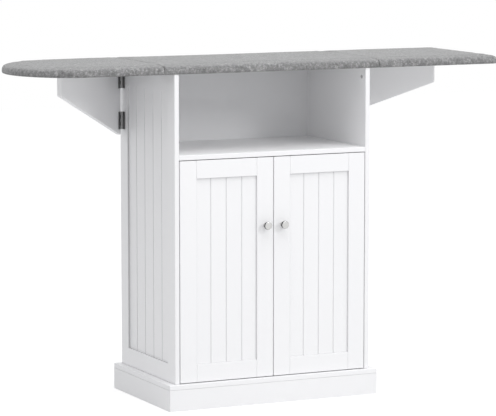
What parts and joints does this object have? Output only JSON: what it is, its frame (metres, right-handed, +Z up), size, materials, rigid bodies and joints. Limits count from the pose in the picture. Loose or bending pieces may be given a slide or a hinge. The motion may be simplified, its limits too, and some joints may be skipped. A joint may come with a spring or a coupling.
{
  "type": "ironing board cabinet",
  "caption": "White cupboard with panelled doors and an open cubby, whose padded grey top runs on as hinged ironing leaves on swing-out brackets.",
  "frame": {"origin": "on the floor, under the middle of the whole with both leaves out", "axes": "+X to the right as seen from the doors, along the ironing surface; +Y from the doors to the back; +Z up"},
  "size_m": [1.291, 0.3712, 0.859],
  "materials": {
    "white_paint": "cool white semi-matt paint on board",
    "painted_hardboard": "thin white-faced hardboard",
    "faced_board": "white-faced board under the cover",
    "melange_cover": "grey melange cotton over felt",
    "satin_nickel": "satin nickel",
    "dark_steel": "dark burnished steel",
    "zinc_plate": "bright zinc plate",
    "soft_bumper": "pale translucent rubber"
  },
  "bodies": {
    "cabinet": {"plinth_front": "white_paint", "plinth_back": "white_paint", "plinth_left": "white_paint", "plinth_right": "white_paint", "base_panel": "white_paint", "side_panel_left": "white_paint", "side_panel_right": "white_paint", "cubby_floor": "white_paint", "inner_shelf": "white_paint", "back_panel": "painted_hardboard", "shelf_pin_left_front": "zinc_plate", "shelf_pin_left_back": "zinc_plate", "shelf_pin_right_front": "zinc_plate", "shelf_pin_right_back": "zinc_plate", "middle_board": "faced_board", "middle_cover": "melange_cover", "left_flap_hinge_fixed_front": "zinc_plate", "left_flap_hinge_fixed_back": "zinc_plate", "left_bracket_hinge_fixed_upper": "dark_steel", "left_bracket_hinge_fixed_lower": "dark_steel", "left_door_hinge_arm_upper": "zinc_plate", "left_door_hinge_arm_lower": "zinc_plate", "right_flap_hinge_fixed_front": "zinc_plate", "right_flap_hinge_fixed_back": "zinc_plate", "right_bracket_hinge_fixed_upper": "dark_steel", "right_bracket_hinge_fixed_lower": "dark_steel", "right_door_hinge_arm_upper": "zinc_plate", "right_door_hinge_arm_lower": "zinc_plate"},
    "left_door": {"left_door_hinge_stile": "white_paint", "left_door_knob_stile": "white_paint", "left_door_top_rail": "white_paint", "left_door_bottom_rail": "white_paint", "left_door_centre_panel": "white_paint", "left_door_knob": "satin_nickel", "left_door_hinge_cup_upper": "zinc_plate", "left_door_hinge_cup_lower": "zinc_plate"},
    "right_door": {"right_door_hinge_stile": "white_paint", "right_door_knob_stile": "white_paint", "right_door_top_rail": "white_paint", "right_door_bottom_rail": "white_paint", "right_door_centre_panel": "white_paint", "right_door_knob": "satin_nickel", "right_door_hinge_cup_upper": "zinc_plate", "right_door_hinge_cup_lower": "zinc_plate"},
    "left_support": {"left_bracket": "white_paint", "left_bracket_hinge_swing_upper": "dark_steel", "left_bracket_hinge_swing_lower": "dark_steel"},
    "right_support": {"right_bracket": "white_paint", "right_bracket_hinge_swing_upper": "dark_steel", "right_bracket_hinge_swing_lower": "dark_steel"},
    "left_leaf": {"left_leaf_board": "faced_board", "left_leaf_cover": "melange_cover", "left_leaf_bumper": "soft_bumper", "left_flap_hinge_leaf_front": "zinc_plate", "left_flap_hinge_leaf_back": "zinc_plate"},
    "right_leaf": {"right_leaf_board": "faced_board", "right_leaf_cover": "melange_cover", "right_leaf_bumper": "soft_bumper", "right_flap_hinge_leaf_front": "zinc_plate", "right_flap_hinge_leaf_back": "zinc_plate"}
  },
  "joints": [
    {"name": "left_door_hinge", "type": "hinge", "parent": "cabinet", "child": "left_door", "pos_m": [-0.2605, -0.16437, 0.345], "axis": [0, 0, 1], "range_deg": [-110, 0]},
    {"name": "right_door_hinge", "type": "hinge", "parent": "cabinet", "child": "right_door", "pos_m": [0.2515, -0.16437, 0.345], "axis": [0, 0, 1], "range_deg": [0, 110]},
    {"name": "left_bracket_hinge", "type": "hinge", "parent": "cabinet", "child": "left_support", "pos_m": [-0.27775, 0.16162, 0.75], "axis": [0, 0, 1], "range_deg": [-40.6, 49.4]},
    {"name": "right_bracket_hinge", "type": "hinge", "parent": "cabinet", "child": "right_support", "pos_m": [0.26875, 0.16162, 0.75], "axis": [0, 0, 1], "range_deg": [-49.4, 40.6]},
    {"name": "left_leaf_hinge", "type": "hinge", "parent": "cabinet", "child": "left_leaf", "pos_m": [-0.3005, 0.00762, 0.837], "axis": [0, 1, 0], "range_deg": [0, 5]},
    {"name": "right_leaf_hinge", "type": "hinge", "parent": "cabinet", "child": "right_leaf", "pos_m": [0.2915, 0.00762, 0.837], "axis": [0, 1, 0], "range_deg": [-5, 0]}
  ]
}
